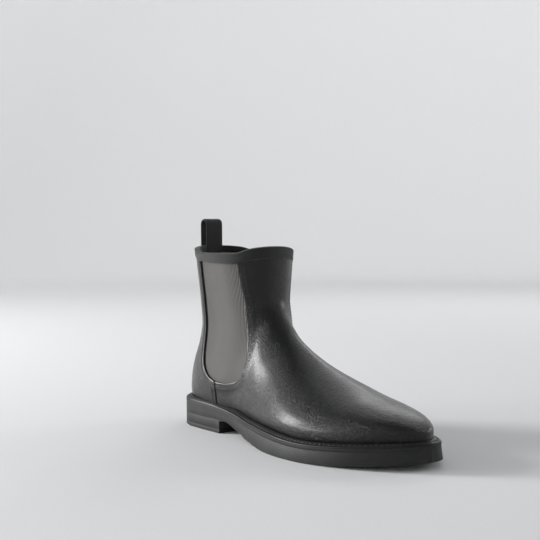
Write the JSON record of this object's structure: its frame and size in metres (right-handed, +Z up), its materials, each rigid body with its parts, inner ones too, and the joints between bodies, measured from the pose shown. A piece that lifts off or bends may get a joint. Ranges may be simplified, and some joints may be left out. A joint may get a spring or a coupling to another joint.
{
  "type": "chelsea boot",
  "caption": "Right-foot ankle boot in black leather with elastic side panels, a stitched welt, a rubber sole with a low block heel and a sewn pull tab.",
  "frame": {"origin": "on the floor under the middle of the heel, on the underside of the top lift", "axes": "+X towards the toe, +Y towards the inner ankle, +Z up"},
  "size_m": [0.3054, 0.1119, 0.1915],
  "materials": {
    "upper_leather": "smooth black calf leather with a fine grain, waxed to a soft shine",
    "binding": "black woven tape",
    "elastic": "warm grey elastic with fine upright ribs",
    "thread": "black waxed thread",
    "webbing": "black ribbed webbing",
    "stiffener": "stiffened leather board",
    "interlining": "undyed cotton canvas",
    "lining": "natural tan lining leather",
    "insole_board": "tan insole leather",
    "shank_steel": "spring steel strip",
    "cork": "granulated cork",
    "welt": "black welt strip, satin",
    "welt_thread": "black waxed welt thread",
    "sole_rubber": "charcoal rubber, matte",
    "nail": "plain steel nail"
  },
  "bodies": {
    "boot": {"front_upper": "upper_leather", "back_quarter": "upper_leather", "back_strip": "upper_leather", "collar_binding": "binding", "gusset_lateral": "elastic", "gusset_medial": "elastic", "gusset_stitching_lateral": "thread", "gusset_stitching_medial": "thread", "seam_stitching_lateral": "thread", "seam_stitching_medial": "thread", "pull_tab_anchor_outer": "webbing", "pull_tab_anchor_inner": "webbing", "toe_puff": "stiffener", "vamp_interlining": "interlining", "heel_counter": "stiffener", "vamp_lining": "lining", "quarter_lining": "lining", "insole": "insole_board", "sock_liner": "lining", "shank": "shank_steel", "cork_filler": "cork", "welt": "welt", "welt_stitching": "welt_thread", "outsole": "sole_rubber", "heel_block": "sole_rubber", "top_lift": "sole_rubber", "heel_nail_1": "nail", "heel_nail_2": "nail", "heel_nail_3": "nail", "heel_nail_4": "nail", "heel_nail_5": "nail"},
    "pull_tab": {"pull_tab_loop": "webbing"}
  },
  "joints": [
    {"name": "pull_tab_fold", "type": "hinge", "parent": "boot", "child": "pull_tab", "pos_m": [-0.02725, 0, 0.16735], "axis": [0, -1, 0], "range_deg": [0, 110], "stiffness_Nm_per_rad": 0.01}
  ]
}
